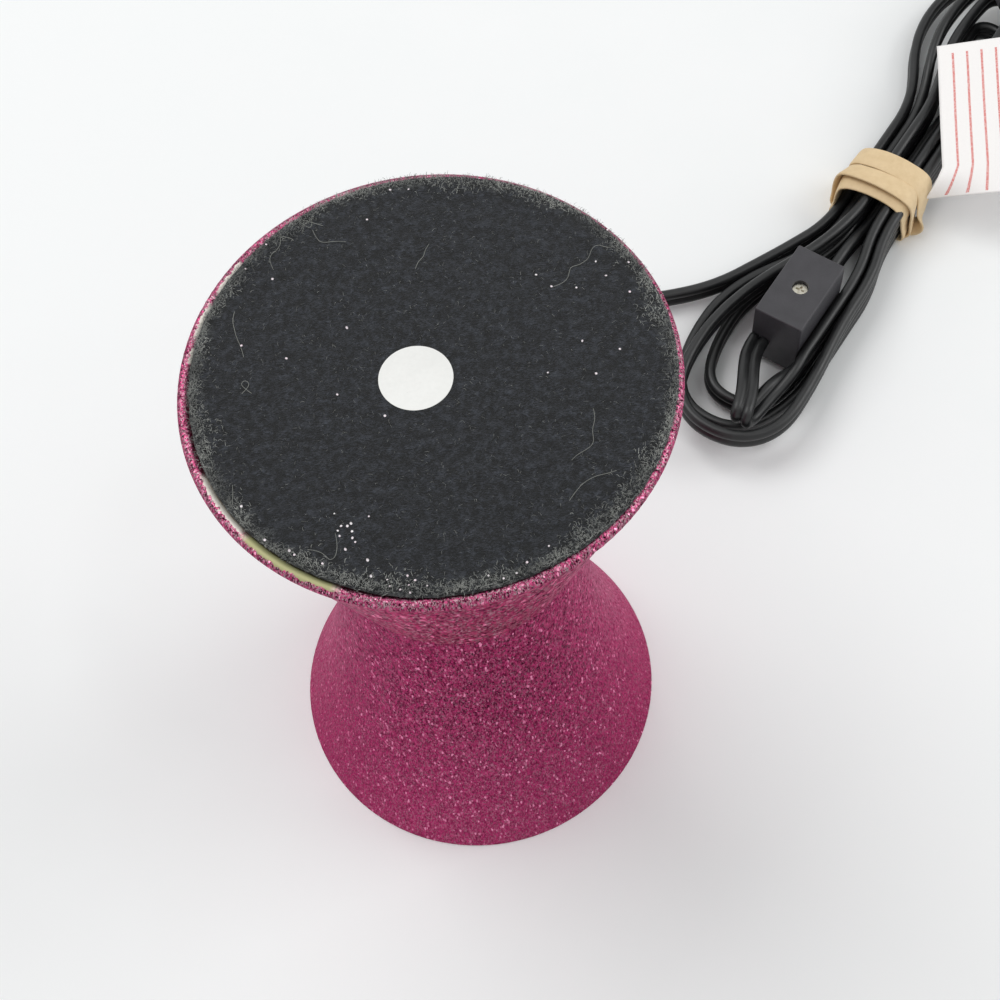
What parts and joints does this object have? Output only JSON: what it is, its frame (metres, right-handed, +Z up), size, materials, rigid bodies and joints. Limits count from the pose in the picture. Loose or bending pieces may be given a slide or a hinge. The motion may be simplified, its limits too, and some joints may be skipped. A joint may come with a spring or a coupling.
{
  "type": "liquid motion lamp base",
  "caption": "Hourglass lamp base of a spun flared cup and cone with a felt foot, upside down, with lamp holder, bulb, twin lead, inline switch, banded hank and plug.",
  "frame": {"origin": "on the lamp's axis, in the plane of the cup rim that stands on the table", "axes": "+Z up along the axis of the lamp, from the cup rim to the felt, with the lamp upside down as pictured"},
  "size_m": [0.2789, 0.2624, 0.1539],
  "materials": {
    "glitter_coat": "glitter",
    "felt": "felt",
    "sticker_paper": "matte",
    "fibre_board": "matte",
    "zinc_steel": "zinc plated",
    "black_plastic": "satin",
    "cord_vinyl": "flexible vinyl",
    "boot_rubber": "matte",
    "holder_phenolic": "moulded phenolic",
    "brass": "bright",
    "clear_glass": "clear",
    "nickel_cap": "bright",
    "black_glass": "opaque",
    "tungsten": "wire",
    "band_rubber": "matte",
    "tag_paper": "matte",
    "sleeve_plastic": "matte"
  },
  "bodies": {
    "base": {"cup_shell": "glitter_coat", "foot_shell": "glitter_coat", "felt_pad": "felt", "inspection_sticker": "sticker_paper", "bottom_board": "fibre_board", "threaded_tube": "zinc_steel", "tube_nut": "zinc_steel", "lock_washers": "zinc_steel", "tube_bushing": "sleeve_plastic", "holder_bracket": "zinc_steel", "bracket_screws": "zinc_steel", "holder_body": "holder_phenolic", "holder_thread": "brass", "holder_contact": "brass", "live_wire": "cord_vinyl", "neutral_wire": "cord_vinyl", "strain_relief": "boot_rubber", "inner_lead": "cord_vinyl", "lead_to_hank": "cord_vinyl", "hank_from_lamp": "cord_vinyl", "hank_to_plug": "cord_vinyl", "rubber_band": "band_rubber", "cord_tag": "tag_paper", "switch_upper_case": "black_plastic", "switch_lower_case": "black_plastic", "case_screw": "zinc_steel", "rocker_pin": "zinc_steel", "switch_contacts": "brass", "switch_through_wire": "brass", "plug_body": "black_plastic", "plug_wide_blade": "brass", "plug_narrow_blade": "brass"},
    "bulb": {"bulb_glass": "clear_glass", "bulb_stem": "clear_glass", "bulb_filament": "tungsten", "bulb_cap": "nickel_cap", "bulb_insulator": "black_glass", "bulb_tip": "nickel_cap"},
    "rocker": {"switch_rocker": "black_plastic", "rocker_bridge": "brass"}
  },
  "joints": [
    {"name": "bulb_turn", "type": "hinge", "parent": "base", "child": "bulb", "pos_m": [0, 0, 0.04], "axis": [0, 0, -1], "range_deg": [0, 1080]},
    {"name": "rocker_tip", "type": "hinge", "parent": "base", "child": "rocker", "pos_m": [0.10635, 0.08951, 0.006], "axis": [0.7333, -0.6799, 0], "range_deg": [0, 24]}
  ]
}
